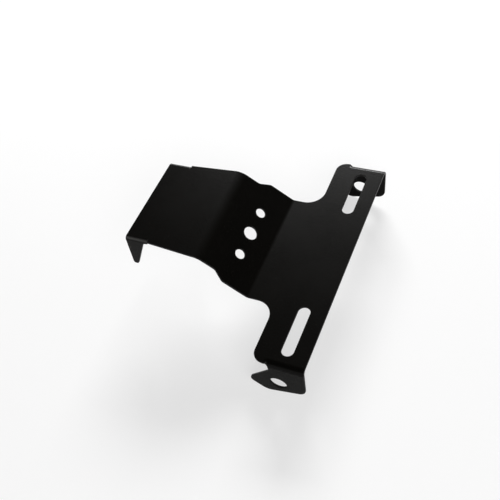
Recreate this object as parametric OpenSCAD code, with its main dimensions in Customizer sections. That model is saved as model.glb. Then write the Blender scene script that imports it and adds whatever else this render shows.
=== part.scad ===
// Tail tidy for the rear of a motorcycle: one folded and powder-coated sheet.
// A wide lower plate carries the number plate and an indicator at each end.
// A sloping web lifts a narrower upper plate that goes under the tail.
// Sizes are millimetres. The origin is midway between the two slots, on the
// top face of the lower plate. Y runs along the bar, X away from the web.

/* [Sheet] */
// Thickness of the sheet
sheet = 1.5; // [1.2:0.1:2]
// Inner radius of the fold between the lower plate and the web
low_fold_radius = 3.2; // [2:0.1:5]
// Inner radius of the wide fold between the web and the upper plate
high_fold_radius = 11; // [6:0.5:14]

/* [Lower plate] */
// Width over the outer faces of the two end flanges
bar_width = 156; // [154:1:162]
// Depth of the cross bar from its free edge to its inner edge
bar_depth = 31.6; // [30:0.2:34]
// Length of the lower plate from its free edge to the low fold
lower_length = 48.5; // [47:0.5:52]
// Width of the neck and of the lower half of the web
neck_width = 78.4; // [75:0.2:82]
// Radius in the inner corners between neck and bar
neck_fillet = 11; // [8:0.5:12]
// How far the bar's flat end slants back towards its inner corner
bar_end_slant = 1.3; // [0.5:0.1:2]
// Radius of the bar's inner corners
bar_corner_radius = 6.6; // [4:0.2:7]
// Radius of the bar's corner beside the flange's fold
bar_end_radius = 2; // [0.5:0.1:3]

/* [Slots] */
// Distance between the centres of the two slots
slot_spacing = 106.4; // [104:0.2:108]
// Length of each slot from end to end
slot_length = 33.6; // [30:0.2:34]
// Width of each slot
slot_width = 7.4; // [6.4:0.1:8]
// Distance of the slots' centre line from the bar's free edge
slot_edge = 13.3; // [11:0.1:15]

/* [Web] */
// Slope of the web against the two level plates, in degrees
web_angle = 38; // [34:0.5:42]
// Flat length of the web between its two folds
web_length = 32.5; // [31:0.5:36]
// Distance of the row of holes from the low fold
hole_row = 14.2; // [12:0.2:16]
// Diameter of the middle hole
middle_hole = 8.7; // [8:0.1:9.6]
// Diameter of the two small holes
small_hole = 6.4; // [5.4:0.1:7]
// Distance between the two small holes
small_hole_spacing = 33.3; // [30:0.1:36]
// Distance from the low fold to where the web starts to get narrower
step_start = 16.5; // [15:0.1:18]
// Length over which it gets narrower
step_length = 7; // [5:0.2:8]
// Radius of both bends of that step
step_radius = 4; // [2:0.5:5]

/* [Upper plate] */
// Length of the upper plate from the high fold to its end
upper_length = 46.4; // [44:0.2:50]
// Width of the upper plate at the high fold
upper_width = 70; // [66:0.5:72]

/* [Tabs] */
// Width over the outer faces of the two tabs
tab_width = 65.4; // [62:0.2:66]
// Length of a tab where it joins the upper plate
tab_root = 15.4; // [14:0.2:18]
// Reach of a tab below the top face of the upper plate
tab_reach = 22.6; // [20:0.2:26]
// Distance of the tab's tip from the end of the upper plate
tab_tip_inset = 0.2; // [0.1:0.1:2]
// Radius of the round tip
tab_tip_radius = 1.7; // [1.5:0.1:2.2]
// Radius in the corner between tab and plate
tab_fillet = 3; // [2:0.2:4]
// Inner radius of the tab's fold
tab_fold_radius = 1; // [0.8:0.1:2]
// Angle the tabs are folded down by, in degrees
tab_angle = 84; // [80:1:89]

/* [End flanges] */
// Inner radius of the flange's fold
flange_fold_radius = 2.5; // [1.5:0.1:3]
// Length of the flange's fold, from the free edge of the bar
flange_fold_length = 21.8; // [20:0.1:23]
// Reach of the flange below the top face, at the free edge of the bar
flange_edge_reach = 25.5; // [24:0.1:27]
// How far the flange's edge has moved in by there
flange_edge_inset = 1.7; // [1:0.1:3]
// Reach of the flange at its lowest corner
flange_low_reach = 31.4; // [30:0.1:33]
// Distance of the lowest corner from the free edge
flange_low_from_edge = 26.5; // [25:0.1:28]
// Reach of the wing at its tip
wing_reach = 22.6; // [21.5:0.1:24]
// Distance of the wing's tip from the free edge
wing_from_edge = 37.2; // [36:0.1:39]
// Depth of the notch between the bar and the wing
notch_depth = 7.6; // [7:0.1:9]
// Radius in the notch
notch_radius = 3; // [1:0.2:4]
// Radius of the flange's corner at the free edge
edge_corner_radius = 6.2; // [4:0.2:7]
// Radius of the flange's lowest corner
low_corner_radius = 6.7; // [4:0.1:8]
// Radius of the wing's tip
wing_tip_radius = 3.8; // [2:0.2:4]
// Diameter of the indicator hole in each flange
indicator_hole = 10.2; // [8:0.1:10.6]
// Distance of the indicator hole below the top face
indicator_drop = 19.9; // [18:0.1:21]
// Distance of the indicator hole from the free edge
indicator_from_edge = 17.7; // [15:0.1:19]

/* [Hidden] */
$fn = 96;
// Spare length that carries each cutting shape past the faces it cuts
spare = 1;
half_bar = bar_width / 2;
half_neck = neck_width / 2;
half_upper = upper_width / 2;
half_tab = tab_width / 2;

// Rounds to a thousandth, so that pieces that meet share the same number
function snap(size) = round(1000 * size) / 1000;

// Corners of the side view's top edge, where its straight lines would meet
low_outer = low_fold_radius + sheet;
high_outer = high_fold_radius + sheet;
low_touch = low_fold_radius * tan(web_angle / 2);
high_touch = high_outer * tan(web_angle / 2);
web_span = low_touch + web_length + high_touch;
low_x = slot_edge - lower_length - low_touch;
high_x = low_x - web_span * cos(web_angle);
high_z = snap(web_span * sin(web_angle));
upper_x = snap(high_x - high_touch);
end_x = upper_x - upper_length;
// Shift of such a corner between the top and the bottom of the sheet
corner_shift = sheet * tan(web_angle / 2);

flange_outer = flange_fold_radius + sheet;
flange_start = half_bar - flange_outer;
// Radius of the filled corner behind the flange's fold
fold_corner = 0.9 * flange_fold_radius;
tab_outer = tab_fold_radius + sheet;
deep = high_z + flange_low_reach + spare;
// Overlap that makes every corner's arc close on its two straight edges
weld = 0.0002;
// Clearance that keeps a cut's straight side off the face it runs along
skim = 0.001;
// Width of the flat strip above a tab's fold
tab_strip = 2;

// Unit vector from one point to another
function toward(a, b) = (b - a) / norm(b - a);
// Signed turn between two directions: positive to the left
function turn(u, v) = u[0] * v[1] - u[1] * v[0];
// Length from a corner to where its arc touches the straight edge
function touch(p, a, b, r) = r / tan(acos(toward(p, a) * toward(p, b)) / 2);
// Centre of the arc that rounds a corner
function arc_centre(p, a, b, r) =
    p + (toward(p, a) + toward(p, b)) * touch(p, a, b, r)
        / (1 + toward(p, a) * toward(p, b));
function corner_points(p, a, b, r) = r == 0 ? [p] : [
    p + toward(p, a) * touch(p, a, b, r),
    p + toward(p, b) * touch(p, a, b, r)
];

// Outline given anticlockwise as [x, y, corner radius], with true arcs
module rounded_outline(rows) {
    n = len(rows);
    p = [for (row = rows) [row[0], row[1]]];
    r = [for (row = rows) row[2]];
    cut = [for (i = [0:n - 1])
        each corner_points(p[i], p[(i + n - 1) % n], p[(i + 1) % n], r[i])];
    left = [for (i = [0:n - 1])
        turn(p[i] - p[(i + n - 1) % n], p[(i + 1) % n] - p[i]) > 0];
    difference() {
        union() {
            polygon(cut);
            for (i = [0:n - 1])
                if (r[i] > 0 && left[i])
                    translate(arc_centre(p[i], p[(i + n - 1) % n], p[(i + 1) % n], r[i]))
                        circle(r = r[i] + weld);
        }
        for (i = [0:n - 1])
            if (r[i] > 0 && !left[i])
                translate(arc_centre(p[i], p[(i + n - 1) % n], p[(i + 1) % n], r[i]))
                    circle(r = r[i] + weld);
    }
}

// Everything below one face of the sheet in side view
module below_face(drop, shift, low_radius, high_radius, reach) {
    rounded_outline([
        [end_x - reach, high_z - drop, 0],
        [end_x - reach, -deep - reach, 0],
        [slot_edge + reach, -deep - reach, 0],
        [slot_edge + reach, -drop, 0],
        [low_x - shift, -drop, low_radius],
        [high_x - shift, high_z - drop, high_radius]
    ]);
}

// Side view of the sheet through both plates and the web
module side_section() {
    difference() {
        below_face(0, 0, low_fold_radius, high_outer, 0);
        below_face(sheet, corner_shift, low_outer, high_fold_radius, spare);
    }
}

// Half of the sheet's outline seen from above, on the side of +Y
module half_plan() {
    rounded_outline([
        [slot_edge, -spare, 0],
        [slot_edge, flange_start, 0],
        [slot_edge - flange_fold_length, flange_start, 0],
        [slot_edge - flange_fold_length, half_bar, bar_end_radius],
        [slot_edge - bar_depth, half_bar - bar_end_slant, bar_corner_radius],
        [slot_edge - bar_depth, half_neck, neck_fillet],
        [upper_x, half_neck, 0],
        [upper_x, half_upper, 0],
        [end_x + tab_root, half_tab, 0],
        [end_x + tab_root, half_tab - tab_outer - tab_strip, 0],
        [end_x, half_tab - tab_outer - tab_strip, 0],
        [end_x, -spare, 0]
    ]);
}

module plan() {
    half_plan();
    mirror([0, 1])
        half_plan();
}

// What is cut off each side of the web to make its upper part narrower
module side_trim() {
    translate([low_x, 0, 0])
        rotate([0, web_angle, 0])
            translate([-low_touch, 0, -deep])
                linear_extrude(2 * deep)
                    rounded_outline([
                        [step_radius - step_start, half_neck + skim, 0],
                        [step_radius - step_start, half_neck + spare, 0],
                        [-2 * web_span, half_neck + spare, 0],
                        [-2 * web_span, half_upper, 0],
                        [-step_start - step_length, half_upper, step_radius],
                        [-step_start, half_neck + skim, step_radius]
                    ]);
}

// Everything under one face of a tab in cross section
module below_tab(drop, radius, reach) {
    corner = radius * tan(tab_angle / 2) - tab_outer;
    run = tab_reach - drop + reach;
    rounded_outline([
        [-tab_outer - tab_strip - reach, -tab_reach - reach, 0],
        [corner + run / tan(tab_angle), -tab_reach - reach, 0],
        [corner, -drop, radius],
        [-tab_outer - tab_strip - reach, -drop, 0]
    ]);
}

// Pointed tab folded down from one side edge of the upper plate
module tab() {
    tip_far = tab_tip_inset + 2 * tab_tip_radius;
    translate([end_x, half_tab, high_z])
        intersection() {
            rotate([90, 0, 90])
                linear_extrude(tab_root)
                    difference() {
                        below_tab(0, tab_outer, 0);
                        below_tab(sheet, tab_fold_radius, spare);
                    }
            translate([0, tab_reach, 0])
                rotate([90, 0, 0])
                    linear_extrude(2 * tab_reach)
                        rounded_outline([
                            [tab_root, spare, 0],
                            [0, spare, 0],
                            [0, -tab_outer, 0],
                            [tab_tip_inset, -tab_reach, tab_tip_radius],
                            [tip_far, -tab_reach, tab_tip_radius],
                            [tab_root - tab_fillet, -tab_outer, tab_fillet],
                            [tab_root, -tab_outer, 0]
                        ]);
        }
}

// Fold that turns the end of the bar down
module flange_fold() {
    translate([slot_edge - flange_fold_length, flange_start, -flange_outer])
        rotate([90, 0, 90])
            linear_extrude(flange_fold_length)
                intersection() {
                    difference() {
                        circle(r = flange_outer);
                        circle(r = flange_fold_radius);
                    }
                    square(flange_outer);
                }
}

// Filled corner between the rear end of that fold and the underside of the bar
module fold_corner_fill() {
    inner_side = sqrt(2) * flange_fold_radius + 0.05;
    top = flange_outer - 0.4;
    translate([slot_edge - flange_fold_length - fold_corner, flange_start, -flange_outer])
        difference() {
            rotate([90, 0, 90])
                linear_extrude(fold_corner)
                    intersection() {
                        circle(r = flange_outer);
                        polygon([
                            [inner_side, 0],
                            [flange_outer + spare, 0],
                            [flange_outer + spare, top],
                            [inner_side - top, top]
                        ]);
                    }
            translate([0, flange_outer + spare, flange_fold_radius - fold_corner])
                rotate([90, 0, 0])
                    linear_extrude(flange_outer + spare)
                        union() {
                            circle(r = fold_corner);
                            translate([-spare, -flange_outer])
                                square([fold_corner + 2 * spare, flange_outer]);
                        }
        }
}

// Flange folded down at one end of the bar, with its wing and indicator hole
module flange() {
    flange_fold();
    fold_corner_fill();
    translate([slot_edge, half_bar, 0])
        rotate([90, 0, 0])
            linear_extrude(sheet)
                difference() {
                    rounded_outline([
                        [0, -flange_outer, 0],
                        [-flange_fold_length, -flange_outer, 0],
                        [-flange_fold_length, -notch_depth, notch_radius],
                        [-wing_from_edge, -wing_reach, wing_tip_radius],
                        [-flange_low_from_edge, -flange_low_reach, low_corner_radius],
                        [-flange_edge_inset, -flange_edge_reach, edge_corner_radius]
                    ]);
                    translate([-indicator_from_edge, -indicator_drop])
                        circle(d = indicator_hole);
                }
}

module slot() {
    reach = (slot_length - slot_width) / 2;
    translate([0, slot_spacing / 2, -sheet - spare])
        linear_extrude(sheet + 2 * spare) {
            for (side = [-1, 1])
                translate([0, side * reach])
                    circle(d = slot_width);
            square([slot_width, 2 * reach], center = true);
        }
}

module web_holes() {
    translate([low_x, 0, 0])
        rotate([0, web_angle, 0])
            translate([-low_touch - hole_row, 0, -sheet - spare]) {
                cylinder(h = sheet + 2 * spare, d = middle_hole);
                for (side = [-1, 1])
                    translate([0, side * small_hole_spacing / 2, 0])
                        cylinder(h = sheet + 2 * spare, d = small_hole);
            }
}

module both_sides() {
    children();
    mirror([0, 1, 0])
        children();
}

module bracket() {
    color([0.045, 0.045, 0.045]) {
        difference() {
            intersection() {
                rotate([90, 0, 0])
                    translate([0, 0, -half_bar - spare])
                        linear_extrude(bar_width + 2 * spare)
                            side_section();
                translate([0, 0, -deep])
                    linear_extrude(2 * deep)
                        plan();
            }
            both_sides()
                side_trim();
            both_sides()
                slot();
            web_holes();
        }
        both_sides() {
            tab();
            flange();
        }
    }
}

bracket();
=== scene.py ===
import bpy
import bmesh
from math import atan2, ceil, cos, degrees, pi, radians, sin, tan
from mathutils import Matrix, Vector


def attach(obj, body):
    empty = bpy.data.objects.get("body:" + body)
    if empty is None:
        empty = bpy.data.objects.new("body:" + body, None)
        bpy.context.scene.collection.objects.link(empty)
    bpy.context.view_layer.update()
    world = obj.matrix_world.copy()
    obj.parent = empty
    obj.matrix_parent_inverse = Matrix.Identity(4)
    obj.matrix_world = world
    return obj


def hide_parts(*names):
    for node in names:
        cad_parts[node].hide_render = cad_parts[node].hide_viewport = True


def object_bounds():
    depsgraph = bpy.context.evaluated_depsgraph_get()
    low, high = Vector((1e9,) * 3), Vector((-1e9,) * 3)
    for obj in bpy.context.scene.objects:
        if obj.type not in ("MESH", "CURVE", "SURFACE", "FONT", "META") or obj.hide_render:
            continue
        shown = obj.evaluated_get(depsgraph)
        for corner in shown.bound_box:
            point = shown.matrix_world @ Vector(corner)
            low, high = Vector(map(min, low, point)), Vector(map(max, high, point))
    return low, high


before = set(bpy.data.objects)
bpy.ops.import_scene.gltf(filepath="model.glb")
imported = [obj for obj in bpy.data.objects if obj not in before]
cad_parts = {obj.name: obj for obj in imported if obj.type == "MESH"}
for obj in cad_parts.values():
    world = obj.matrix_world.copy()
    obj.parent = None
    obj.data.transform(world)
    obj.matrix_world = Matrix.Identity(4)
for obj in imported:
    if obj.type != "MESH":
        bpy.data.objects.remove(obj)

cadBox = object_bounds()                       # the bare bracket's box, before it is dressed
scene = bpy.context.scene
mm = 0.001
print("frame loaded:", sorted(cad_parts))


# A wire is one output socket. Arithmetic on wires adds Math nodes to their tree.
class Wire:
    def __init__(self, net, socket):
        self.net = net
        self.socket = socket

    # another output of the same node
    def output(self, key):
        return Wire(self.net, self.socket.node.outputs[key])

    def math(self, operation, *others):
        values = dict(enumerate([self, *others]))
        return self.net.add("ShaderNodeMath", {"operation": operation}, values)

    def __add__(self, other):
        return self.math("ADD", other)

    def __sub__(self, other):
        return self.math("SUBTRACT", other)

    def __mul__(self, other):
        return self.math("MULTIPLY", other)

    def __truediv__(self, other):
        return self.math("DIVIDE", other)

    def __rsub__(self, other):
        return self.net.add("ShaderNodeMath", {"operation": "SUBTRACT"}, {0: other, 1: self})

    def __rtruediv__(self, other):
        return self.net.add("ShaderNodeMath", {"operation": "DIVIDE"}, {0: other, 1: self})

    def __gt__(self, other):
        return self.math("GREATER_THAN", other)

    def __lt__(self, other):
        return self.math("LESS_THAN", other)

    __radd__ = __add__
    __rmul__ = __mul__


class Net:
    def __init__(self, tree):
        self.tree = tree

    # any node: its settings first, then values or wires for its sockets
    def add(self, kind, settings=None, sockets=None, out=0):
        node = self.tree.nodes.new(kind)
        for name, value in (settings or {}).items():
            setattr(node, name, value)
        for key, value in (sockets or {}).items():
            if isinstance(value, Wire):
                self.tree.links.new(value.socket, node.inputs[key])
            else:
                node.inputs[key].default_value = value
        return Wire(self, node.outputs[out]) if len(node.outputs) else node


def newMaterial(name):
    material = bpy.data.materials.new(name)
    material.use_nodes = True
    material.node_tree.nodes.clear()
    return material, Net(material.node_tree)


def newObject(name, shape):
    mesh = bpy.data.meshes.new(name)
    shape.to_mesh(mesh)
    shape.free()
    piece = bpy.data.objects.new(name, mesh)
    scene.collection.objects.link(piece)
    return piece


def steps(start, length, count):
    return [start + length * k / count for k in range(count + 1)]


# The coat: satin black powder with a fine orange peel, a little duller where it is handled, with a painted
# highlight line along the tabs' tight folds

coat = {
    "colour": (0.0019, 0.0017, 0.0013, 1),
    "handled": (0.0031, 0.0028, 0.0023, 1),
    "edge": (0.0200, 0.0195, 0.0190, 1),   # thin over the cut edges
    "edgeShare": 0.6,
    "paintedFoldHighlight": (0.0720, 0.0710, 0.0680, 1),  # painted highlight along the middle of the tabs' tight folds
    "roughness": 0.28,
    "roughnessSpread": 0.06,               # between clean and handled places
    "grainSpread": 0.06,
    "gloss": 0.068,
    "peelSize": 900,                       # waves in a metre
    "peelDepth": 0.00004,
    "grainSize": 4200,
    "grainDepth": 0.000008,
    "smudgeSize": 28,
}


def makeCoat():
    material, net = newMaterial("satinBlackCoat")
    place = net.add("ShaderNodeTexCoord", out="Object")
    edge = net.add("ShaderNodeAttribute", {"attribute_name": "cutEdge"}, out="Fac")
    fold = net.add("ShaderNodeAttribute", {"attribute_name": "paintedFoldHighlight"}, out="Fac")

    def noise(size, detail, roughness):
        return net.add("ShaderNodeTexNoise", {}, {
            "Vector": place, "Scale": size, "Detail": detail, "Roughness": roughness})

    def blend(share, colour, other):
        return net.add("ShaderNodeMix", {"data_type": "RGBA"}, {0: share, 6: colour, 7: other}, out=2)

    smudge = noise(coat["smudgeSize"], 4, 0.6)
    peel = noise(coat["peelSize"], 1.5, 0.5)
    grain = noise(coat["grainSize"], 2, 0.6)
    face = blend(smudge, coat["colour"], coat["handled"])
    edged = blend(edge * coat["edgeShare"], face, coat["edge"])
    # the tabs' tight folds are lightened by a painted highlight line
    colour = blend(fold * (smudge + 0.5), edged, coat["paintedFoldHighlight"])
    handledRough = coat["roughness"] + (smudge - 0.5) * coat["roughnessSpread"]
    rough = handledRough + (grain - 0.5) * coat["grainSpread"]
    height = peel * coat["peelDepth"] + grain * coat["grainDepth"]
    bump = net.add("ShaderNodeBump", {}, {"Height": height, "Distance": 1, "Strength": 1})
    shader = net.add("ShaderNodeBsdfPrincipled", {}, {
        "Base Color": colour, "Roughness": rough, "Normal": bump,
        "Specular IOR Level": coat["gloss"]})
    net.add("ShaderNodeOutputMaterial", {}, {"Surface": shader})
    print("coat mixed:", material.name)
    return material


# The bracket: a flat blank is cut out, then folded. Sizes are in millimetres.

bracket = {
    "sheet": 1.5,
    "edgeRound": 0.35,                     # what deburring and coating leave of a cut edge
    "edgeSteps": 3,
    "cutWidth": 0.16,                      # laser slit beside a short fold
    "arcStep": 6,                          # degrees
    "deburredCorner": 0.5,                 # least radius of an outer corner
    "barWidth": 156, "barDepth": 31.6, "barEndSlant": 1.3, "barCorner": 6.6,
    "neckWidth": 78.4, "neckFillet": 11, "lowerLength": 48.5,
    "slotSpacing": 106.4, "slotLength": 33.6, "slotWidth": 7.4, "slotEdge": 13.3,
    "webAngle": 38, "webLength": 32.5, "lowFold": 3.2, "highFold": 11,
    "holeRow": 14.2, "middleHole": 8.7, "smallHole": 6.4, "smallHoleSpacing": 33.3,
    "stepStart": 16.5, "stepLength": 7, "stepRadius": 4,
    "upperLength": 46.4, "upperWidth": 70,
    "tabWidth": 65.4, "tabRoot": 15.4, "tabReach": 22.6, "tabTipInset": 0.2,
    "tabTip": 1.7, "tabFillet": 3, "tabFold": 1, "tabAngle": 84,
    "flangeFold": 2.5, "flangeFoldLength": 21.8,
    "foldCorner": 2.2,                     # round corner where the flange's fold leaves the bar
    "foldFade": 2.6,                       # length over which that fold fades into the flat bar
    # corners of the flange: distance from the free edge, reach below the top face, radius
    "flangeCorners": [(1.7, 25.5, 6.2), (26.5, 31.4, 6.7), (37.2, 22.6, 3.8), (21.8, 7.6, 3)],
    "indicatorHole": 10.2, "indicatorDrop": 19.9, "indicatorFromEdge": 17.7,
    "foldSteps": {"low": 8, "high": 14, "flange": 16, "tab": 10, "fade": 10},
}


# Distances along the top face of the flat blank, from the slots' centre line
def foldPlaces(b):
    turnOf = radians(b["webAngle"])
    lowStart = b["lowerLength"] - b["slotEdge"]
    webStart = lowStart + b["lowFold"] * turnOf
    highStart = webStart + b["webLength"]
    upperStart = highStart + (b["highFold"] + b["sheet"]) * turnOf
    end = upperStart + b["upperLength"]
    flangeOuter = b["flangeFold"] + b["sheet"]
    tabOuter = b["tabFold"] + b["sheet"]
    return {
        "lowStart": lowStart, "webStart": webStart, "highStart": highStart,
        "upperStart": upperStart, "end": end,
        "flangeOuter": flangeOuter, "tabOuter": tabOuter,
        "flangeStart": b["barWidth"] / 2 - flangeOuter,
        "flangeEnd": b["slotEdge"] - b["flangeFoldLength"],
        "tabStart": b["tabWidth"] / 2 - tabOuter,
        "tabRoot": b["tabRoot"] - end,
        "tabSlit": b["tabRoot"] - end + b["cutWidth"] / 2,
    }


# A closed row of points from corners given as x, y and radius
def roundedLoop(rows, step):
    points = []
    for i, (x, y, radius) in enumerate(rows):
        corner = Vector((x, y))
        if radius == 0:
            points.append(corner)
            continue
        toBefore = (Vector(rows[i - 1][:2]) - corner).normalized()
        toAfter = (Vector(rows[(i + 1) % len(rows)][:2]) - corner).normalized()
        half = toBefore.angle(toAfter) / 2
        centre = corner + (toBefore + toAfter).normalized() * radius / sin(half)
        first = corner + toBefore * radius / tan(half) - centre
        last = corner + toAfter * radius / tan(half) - centre
        sweep = first.angle_signed(last)
        count = max(2, ceil(abs(degrees(sweep)) / step * min(1, radius)))
        for a in steps(atan2(first.y, first.x), -sweep, count):
            points.append(centre + Vector((cos(a), sin(a))) * radius)
    return points


def circleLoop(x, y, radius, step):
    turns = steps(0, -2 * pi, ceil(360 / step))[:-1]
    return [Vector((x + radius * cos(a), y + radius * sin(a))) for a in turns]


# One half of the blank's outline, on the side of +Y, anticlockwise from the free edge
def halfOutline(b, f):
    slit = b["cutWidth"]
    slitEnd = 0.45 * slit
    free = b["slotEdge"]
    foldFlat = f["flangeStart"] + f["flangeOuter"] * pi / 2 - f["flangeOuter"]
    back = free - b["barDepth"]
    lean = radians(b["tabAngle"])
    root = f["tabRoot"]
    tabBase = f["tabOuter"] * (1 - cos(lean))          # depth at which the tab turns straight

    def tabFlat(depth):
        return f["tabStart"] + f["tabOuter"] * lean + (depth - tabBase) / sin(lean)

    rows = [(free, foldFlat + f["flangeOuter"], 0)]
    rows += [(free - x, foldFlat + z, r) for x, z, r in b["flangeCorners"]]
    rows += [
        (f["flangeEnd"], b["barWidth"] / 2, b["foldCorner"]),
        (back, b["barWidth"] / 2 - b["barEndSlant"], b["barCorner"]),
        (back, b["neckWidth"] / 2, b["neckFillet"]),
        (-f["webStart"] - b["stepStart"], b["neckWidth"] / 2, b["stepRadius"]),
        (-f["webStart"] - b["stepStart"] - b["stepLength"], b["upperWidth"] / 2, b["stepRadius"]),
        (-f["upperStart"], b["upperWidth"] / 2, 0),
        (root + slit, b["tabWidth"] / 2, b["deburredCorner"]),
        (root + slit, f["tabStart"], slitEnd),
        (root, f["tabStart"], slitEnd),
        (root, tabFlat(f["tabOuter"]), b["deburredCorner"]),
        (root - b["tabFillet"], tabFlat(f["tabOuter"]), b["tabFillet"]),
        (2 * b["tabTip"] + b["tabTipInset"] - f["end"], tabFlat(b["tabReach"]), b["tabTip"]),
        (b["tabTipInset"] - f["end"], tabFlat(b["tabReach"]), b["tabTip"]),
        (-f["end"], tabFlat(f["tabOuter"]), 0),
    ]
    return rows


# The outline, then the slots and holes, all with the metal on the left
def blankLoops(b, f):
    half = halfOutline(b, f)
    other = [(x, -y, r) for x, y, r in reversed(half)]
    loops = [roundedLoop(half + other, b["arcStep"])]
    radius = b["slotWidth"] / 2
    reach = b["slotLength"] / 2
    foldFlat = f["flangeStart"] + f["flangeOuter"] * (pi / 2 - 1)
    web = -f["webStart"] - b["holeRow"]
    for side in (-1, 1):
        y = side * b["slotSpacing"] / 2
        slot = [(radius, y + reach, radius), (radius, y - reach, radius),
                (-radius, y - reach, radius), (-radius, y + reach, radius)]
        loops.append(roundedLoop(slot, b["arcStep"]))
        loops.append(circleLoop(
            b["slotEdge"] - b["indicatorFromEdge"], side * (foldFlat + b["indicatorDrop"]),
            b["indicatorHole"] / 2, b["arcStep"]))
        loops.append(circleLoop(
            web, side * b["smallHoleSpacing"] / 2, b["smallHole"] / 2, b["arcStep"]))
    loops.append(circleLoop(web, 0, b["middleHole"] / 2, b["arcStep"]))
    return [cleanLoop(loop) for loop in loops]


def cleanLoop(points):
    return [p for i, p in enumerate(points) if (p - points[i - 1]).length > 0.001]


# Rings round a loop, from the top face over the rounded edge to the bottom face
def edgeRings(b):
    r = b["edgeRound"]
    top = [(r * (1 - sin(a)), r * (1 - cos(a)), a) for a in steps(0, pi / 2, b["edgeSteps"])]
    bottom = [(inset, b["sheet"] - depth, pi - a) for inset, depth, a in reversed(top)]
    return top + bottom


def makeBlank(b, f):
    shape = bmesh.new()
    facing = shape.verts.layers.float_vector.new("facing")
    cutEdge = shape.verts.layers.float.new("cutEdge")
    rings = edgeRings(b)
    topRings, bottomRings = [], []
    for loop in blankLoops(b, f):
        count = len(loop)
        outs, grows = [], []
        for i, p in enumerate(loop):
            before = (p - loop[i - 1]).normalized()
            after = (loop[(i + 1) % count] - p).normalized()
            n1, n2 = Vector((before.y, -before.x)), Vector((after.y, -after.x))
            outs.append((n1 + n2).normalized())
            grows.append((n1 + n2) / (1 + n1.dot(n2)))
        made = []
        for inset, depth, turn in rings:
            row = []
            for p, out, grow in zip(loop, outs, grows):
                x, y = p - grow * inset
                vert = shape.verts.new((x * mm, y * mm, -depth * mm))
                vert[facing] = (out.x * sin(turn), out.y * sin(turn), cos(turn))
                vert[cutEdge] = 1 if 0.1 < turn < pi - 0.1 else 0
                row.append(vert)
            made.append(row)
        for upper, lower in zip(made, made[1:]):
            for i in range(count):
                k = (i + 1) % count
                shape.faces.new((upper[i], lower[i], lower[k], upper[k]))
        topRings.append(made[0])
        bottomRings.append(made[-1])
    below = {}
    for top, bottom in zip(topRings, bottomRings):
        below.update(zip(top, bottom))
    border = [shape.edges.get((ring[i - 1], ring[i])) for ring in topRings for i in range(len(ring))]
    filled = bmesh.ops.triangle_fill(shape, edges=border, use_beauty=True, normal=(0, 0, 1))
    for face in [g for g in filled["geom"] if isinstance(g, bmesh.types.BMFace)]:
        shape.faces.new([below[v] for v in reversed(face.verts)])
    print("blank cut:", len(shape.faces), "faces")
    return shape


# Cuts the faces that reach a place, or those of them with a corner where "within" is true
def cutAcross(shape, axis, places, within=None):
    normal = Vector((axis == "x", axis == "y", 0))
    for place in places:
        faces = [q for q in shape.faces if within is None or any(within(v.co / mm) for v in q.verts)]
        geom = set(faces)
        for q in faces:
            geom.update(q.verts)
            geom.update(q.edges)
        bmesh.ops.bisect_plane(
            shape, geom=list(geom), dist=1e-8, plane_co=normal * place * mm, plane_no=normal)


def addFoldLines(shape, b, f):
    turnOf, lean, count = radians(b["webAngle"]), radians(b["tabAngle"]), b["foldSteps"]
    cutAcross(shape, "x", steps(-f["lowStart"], -b["lowFold"] * turnOf, count["low"]))
    cutAcross(shape, "x", steps(
        -f["highStart"], -(b["highFold"] + b["sheet"]) * turnOf, count["high"]))
    for side in (-1, 1):
        cutAcross(shape, "y", steps(
            side * f["flangeStart"], side * f["flangeOuter"] * pi / 2, count["flange"]))
        cutAcross(shape, "y", steps(
            side * f["tabStart"], side * f["tabOuter"] * lean, count["tab"]),
            lambda p: p.x < f["tabRoot"] + 0.5)
    fadeStart = f["flangeEnd"] - b["foldFade"]
    cutAcross(shape, "x", steps(fadeStart, b["foldFade"], count["fade"]),
              lambda p: abs(p.y) > f["flangeStart"] - 0.1 and p.x > fadeStart - 12)
    bmesh.ops.remove_doubles(shape, verts=shape.verts, dist=0.02 * mm)
    # a painted highlight line along the tabs' tight folds, stored on the vertices
    tight = shape.verts.layers.float.new("paintedFoldHighlight")
    for vert in shape.verts:
        x, y, z = vert.co / mm
        past = (abs(y) - f["tabStart"]) / (f["tabOuter"] * lean)
        if x < f["tabSlit"] and z > -b["sheet"] / 2 and 0 < past < 1:
            vert[tight] = sin(pi * past) ** 4          # painted highlight: a light line along the middle of the fold
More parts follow.
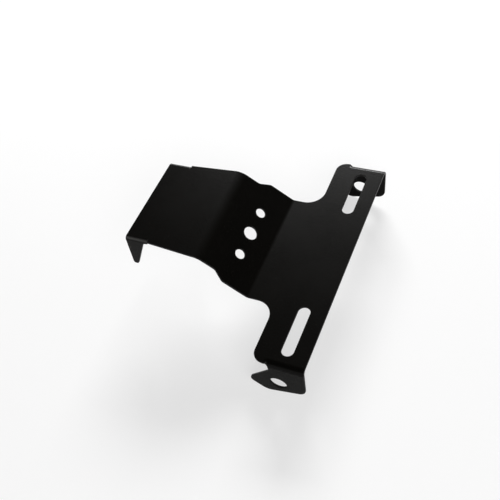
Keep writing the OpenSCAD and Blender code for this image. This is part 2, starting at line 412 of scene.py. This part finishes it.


# One fold as a node group. It turns what lies beyond a line down (side 1) or up (side -1).
def foldGroup():
    tree = bpy.data.node_groups.new("foldOnce", "GeometryNodeTree")
    face = tree.interface
    face.new_socket("Sheet", in_out="INPUT", socket_type="NodeSocketGeometry")
    face.new_socket("Along", in_out="INPUT", socket_type="NodeSocketVector")
    for name in ("Start", "Top radius", "Angle", "Side", "From", "Fade", "To", "Wing beyond"):
        face.new_socket(name, in_out="INPUT", socket_type="NodeSocketFloat")
    face.new_socket("Sheet", in_out="OUTPUT", socket_type="NodeSocketGeometry")
    net = Net(tree)
    entry = net.add("NodeGroupInput")
    sheet, along, start, radius, angle, side, first, fade, last, wing = [
        entry.output(k) for k in range(10)]
    place = net.add("GeometryNodeInputPosition")
    facing = net.add("GeometryNodeInputNamedAttribute", {"data_type": "FLOAT_VECTOR"}, {"Name": "facing"})

    def dot(a, c):
        return net.add("ShaderNodeVectorMath", {"operation": "DOT_PRODUCT"}, {0: a, 1: c}, out=1)

    def rebuilt(vector, alongNow, zNow, alongWas):
        moved = net.add("ShaderNodeVectorMath", {"operation": "SCALE"}, {0: along, 3: alongNow - alongWas})
        shifted = net.add("ShaderNodeVectorMath", {"operation": "ADD"}, {0: vector, 1: moved})
        x = net.add("ShaderNodeSeparateXYZ", {}, {0: shifted})
        return net.add("ShaderNodeCombineXYZ", {}, {0: x, 1: x.output(1), 2: zNow})

    x = net.add("ShaderNodeSeparateXYZ", {}, {0: place})
    up = x.output(2)
    past = dot(place, along) - start
    length = radius * angle
    turned = past.math("MAXIMUM", 0).math("MINIMUM", length) / radius
    rest = (past - length).math("MAXIMUM", 0)
    c, s = turned.math("COSINE"), turned.math("SINE")
    arm = radius + side * up
    alongNow = start + past.math("MINIMUM", 0) + arm * s + rest * c
    zNow = side * (arm * c - radius - rest * s)
    ramp = ((x - first) / fade + 1).math("MAXIMUM", 0).math("MINIMUM", 1)
    share = (ramp * ramp * (3 - 2 * ramp) * (x < last)).math("MAXIMUM", (past > length) * wing)
    moves = (past > 0) * (share > 0)
    lean, rise = dot(facing, along), net.add("ShaderNodeSeparateXYZ", {}, {0: facing}, out=2)
    turnedFacing = rebuilt(facing, lean * c + side * rise * s, rise * c - side * lean * s, lean)

    def partly(whole, folded):
        return net.add("ShaderNodeMix", {"data_type": "VECTOR"}, {0: share, 4: whole, 5: folded}, out=1)

    kept = net.add("GeometryNodeStoreNamedAttribute", {"data_type": "FLOAT_VECTOR", "domain": "POINT"}, {
        "Geometry": sheet, "Selection": moves, "Name": "facing", "Value": partly(facing, turnedFacing)})
    done = net.add("GeometryNodeSetPosition", {}, {
        "Geometry": kept, "Selection": moves,
        "Position": partly(place, rebuilt(place, alongNow, zNow, past + start))})
    net.add("NodeGroupOutput", {}, {0: done})
    return tree


# All six folds in the order of the press, then the coat
def foldingTree(fold):
    tree = bpy.data.node_groups.new("foldBlank", "GeometryNodeTree")
    face = tree.interface
    face.new_socket("Blank", in_out="INPUT", socket_type="NodeSocketGeometry")
    names = ["Flange start", "Flange radius", "Flange from", "Flange fade",
             "Tab start", "Tab radius", "Tab to", "Tab angle",
             "High start", "High radius", "Low start", "Low radius", "Web angle"]
    for name in names:
        face.new_socket(name, in_out="INPUT", socket_type="NodeSocketFloat")
    face.new_socket("Coat", in_out="INPUT", socket_type="NodeSocketMaterial")
    face.new_socket("Bracket", in_out="OUTPUT", socket_type="NodeSocketGeometry")
    net = Net(tree)
    entry = net.add("NodeGroupInput")
    size = {name: entry.output(name) for name in names}
    sheet = entry.output("Blank")
    for side in (-1, 1):
        sheet = net.add("GeometryNodeGroup", {"node_tree": fold}, {
            "Sheet": sheet, "Along": (0, side, 0), "Start": size["Flange start"],
            "Top radius": size["Flange radius"], "Angle": pi / 2, "Side": 1,
            "From": size["Flange from"], "Fade": size["Flange fade"], "To": 1, "Wing beyond": 1})
        sheet = net.add("GeometryNodeGroup", {"node_tree": fold}, {
            "Sheet": sheet, "Along": (0, side, 0), "Start": size["Tab start"],
            "Top radius": size["Tab radius"], "Angle": size["Tab angle"], "Side": 1,
            "From": -1, "Fade": 0.1, "To": size["Tab to"], "Wing beyond": 0})
    for name, side in (("High", 1), ("Low", -1)):
        sheet = net.add("GeometryNodeGroup", {"node_tree": fold}, {
            "Sheet": sheet, "Along": (-1, 0, 0), "Start": size[name + " start"],
            "Top radius": size[name + " radius"], "Angle": size["Web angle"], "Side": side,
            "From": -1, "Fade": 0.1, "To": 1, "Wing beyond": 0})
    real = net.add("GeometryNodeRealizeInstances", {}, {"Geometry": sheet})
    coated = net.add("GeometryNodeSetMaterial", {}, {
        "Geometry": real, "Material": entry.output("Coat")})
    net.add("NodeGroupOutput", {}, {0: coated})
    return tree


def foldBlank(flat, b, f, material):
    press = flat.modifiers.new("press", "NODES")
    press.node_group = foldingTree(foldGroup())
    sizes = {
        "Flange start": f["flangeStart"], "Flange radius": f["flangeOuter"],
        "Flange from": f["flangeEnd"], "Flange fade": b["foldFade"],
        "Tab start": f["tabStart"], "Tab radius": f["tabOuter"], "Tab to": f["tabSlit"],
        "High start": f["highStart"], "High radius": b["highFold"] + b["sheet"],
        "Low start": f["lowStart"], "Low radius": b["lowFold"],
    }
    values = {name: size * mm for name, size in sizes.items()}
    values.update({"Tab angle": radians(b["tabAngle"]), "Web angle": radians(b["webAngle"]),
                   "Coat": material})
    for item in press.node_group.interface.items_tree:
        if item.in_out == "INPUT" and item.name in values:
            press[item.identifier] = values[item.name]
    folded = bpy.data.meshes.new_from_object(flat.evaluated_get(bpy.context.evaluated_depsgraph_get()))
    bpy.data.objects.remove(flat)
    return folded


def makeBracket(material):
    b, f = bracket, foldPlaces(bracket)
    shape = makeBlank(b, f)
    addFoldLines(shape, b, f)
    folded = foldBlank(newObject("blank", shape), b, f, material)
    folded.name = "tailTidy"
    for face in folded.polygons:
        face.use_smooth = True

    # where a fold fades out, the mesh's own normals are right
    def fades(p):
        inLength = f["flangeEnd"] - b["foldFade"] < p.x < f["flangeEnd"]
        return inLength and abs(p.y) > f["flangeStart"] and p.z > -f["flangeOuter"]

    facing = [v.normal if fades(v.co / mm) else Vector(a.vector).normalized()
              for v, a in zip(folded.vertices, folded.attributes["facing"].data)]
    folded.normals_split_custom_set_from_vertices(facing)
    folded.attributes.remove(folded.attributes["facing"])
    piece = bpy.data.objects.new("tailTidy", folded)
    scene.collection.objects.link(piece)
    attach(piece, "root")
    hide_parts("bracket")
    print("bracket folded:", len(folded.polygons), "faces, material", [m.name for m in folded.materials])


makeBracket(makeCoat())


# A round white floor whose rim curves up. Near the object it shows part of the shadows.

floor = {
    "radius": 3.0, "rimCurve": 0.6, "rimHeight": 1.1,
    "colour": (0.93, 0.93, 0.93, 1),
    "glow": 0.62,                          # share of its white that shadows don't take away
    "shadowReach": 0.30, "whiteFrom": 0.80,
    "drop": 0.0003,
    "rimSteps": 12, "sides": 64,
}


# 1 for the rays that see a background, 0 for those that carry light
def seenRays(net):
    rays = ("Is Camera Ray", "Is Glossy Ray", "Is Transmission Ray")
    return sum(net.add("ShaderNodeLightPath", out=name) for name in rays).math("MINIMUM", 1)


def makePaleFloor():
    material, net = newMaterial("paleFloor")
    shader = net.add("ShaderNodeBsdfPrincipled", {}, {
        "Base Color": floor["colour"], "Roughness": 0.9, "Specular IOR Level": 0.1})
    white = net.add("ShaderNodeEmission", {}, {"Color": (1, 1, 1, 1), "Strength": 1})
    place = net.add("ShaderNodeTexCoord", out="Object")
    away = net.add("ShaderNodeVectorMath", {"operation": "LENGTH"}, {0: place}, out=1)
    near = floor["glow"] * net.add("ShaderNodeLightPath", out="Is Camera Ray")
    glow = net.add("ShaderNodeMapRange", {"interpolation_type": "SMOOTHSTEP"}, {
        0: away, 1: floor["shadowReach"], 2: floor["whiteFrom"], 3: near, 4: 1})
    surface = net.add("ShaderNodeMixShader", {}, {0: seenRays(net) * glow, 1: shader, 2: white})
    below = net.add("ShaderNodeNewGeometry", out="Backfacing")     # clear from below
    clear = net.add("ShaderNodeBsdfTransparent")
    shown = net.add("ShaderNodeMixShader", {}, {0: below, 1: surface, 2: clear})
    net.add("ShaderNodeOutputMaterial", {}, {"Surface": shown})
    return material


def makeFloor():
    z = cadBox[0].z - floor["drop"]
    curve, radius = floor["rimCurve"], floor["radius"]
    profile = [(0, z)] + [(radius - curve + curve * sin(a), z + curve - curve * cos(a))
                          for a in steps(0, pi / 2, floor["rimSteps"])]
    profile.append((radius, z + floor["rimHeight"]))
    shape = bmesh.new()
    points = [shape.verts.new((r, 0, height)) for r, height in profile]
    lines = [shape.edges.new(pair) for pair in zip(points, points[1:])]
    bmesh.ops.spin(shape, geom=points + lines, cent=(0, 0, 0), axis=(0, 0, 1),
                   angle=2 * pi, steps=floor["sides"])
    bmesh.ops.remove_doubles(shape, verts=shape.verts, dist=mm)
    bmesh.ops.recalc_face_normals(shape, faces=shape.faces)
    if sum(face.normal.z for face in shape.faces) < 0:
        bmesh.ops.reverse_faces(shape, faces=shape.faces)
    piece = newObject("floor", shape)
    piece.data.materials.append(makePaleFloor())
    print("floor laid:", len(piece.data.polygons), "faces")


# "onFloor" is the light each lamp puts on the floor; pi in all shows a colour as it is written

light = {
    "aim": (-0.05, 0, 0),
    "airColour": (1, 1, 1, 1), "airStrength": 0.06,
    "lamps": [
        {"name": "backWindow", "azimuth": 104, "elevation": 28, "distance": 1.4,
         "size": (0.8, 0.3), "onFloor": 2.15},
        {"name": "sideSoftbox", "azimuth": -48, "elevation": 34, "distance": 1.6,
         "size": (1.3, 0.9), "onFloor": 0.95},
    ],
}


# Dim air all round. What is seen through the floor from below has white behind it.
def makeAir():
    world = bpy.data.worlds.new("studio")
    scene.world = world
    world.use_nodes = True
    world.node_tree.nodes.clear()
    net = Net(world.node_tree)
    fromBelow = seenRays(net) * (net.add("ShaderNodeLightPath", out="Transparent Depth") > 0)
    sky = net.add("ShaderNodeBackground", {}, {
        "Color": light["airColour"],
        "Strength": light["airStrength"] + (1 - light["airStrength"]) * fromBelow})
    net.add("ShaderNodeOutputWorld", {}, {"Surface": sky})


def hangLamp(lamp):
    around, up = radians(lamp["azimuth"]), radians(lamp["elevation"])
    toLamp = Vector((cos(around) * cos(up), sin(around) * cos(up), sin(up)))
    data = bpy.data.lights.new(lamp["name"], "AREA")
    data.shape = "RECTANGLE"
    data.size, data.size_y = lamp["size"]
    data.energy = lamp["onFloor"] * pi * lamp["distance"] ** 2 / sin(up)
    piece = bpy.data.objects.new(lamp["name"], data)
    scene.collection.objects.link(piece)
    piece.location = Vector(light["aim"]) + toLamp * lamp["distance"]
    piece.rotation_euler = toLamp.to_track_quat("Z", "Y").to_euler()
    print("lamp hung:", lamp["name"], round(data.energy, 1), "W")


photoView = {
    "at": (0.12569, -0.25123, 0.36145),
    "turn": (38.5953, 10.3006, 22.7354),       # degrees about X, Y and Z
    "lens": 54.72,
    "sensor": 36,
}


def makeCamera():
    data = bpy.data.cameras.new("photoView")
    data.sensor_width = photoView["sensor"]
    data.lens = photoView["lens"]
    data.clip_start, data.clip_end = 0.01, 20
    piece = bpy.data.objects.new("photoView", data)
    scene.collection.objects.link(piece)
    piece.location = photoView["at"]
    piece.rotation_euler = [radians(a) for a in photoView["turn"]]
    scene.camera = piece
    print("camera set: lens", photoView["lens"])


makeFloor()
makeAir()
for lamp in light["lamps"]:
    hangLamp(lamp)
makeCamera()
scene.view_settings.view_transform = "Standard"
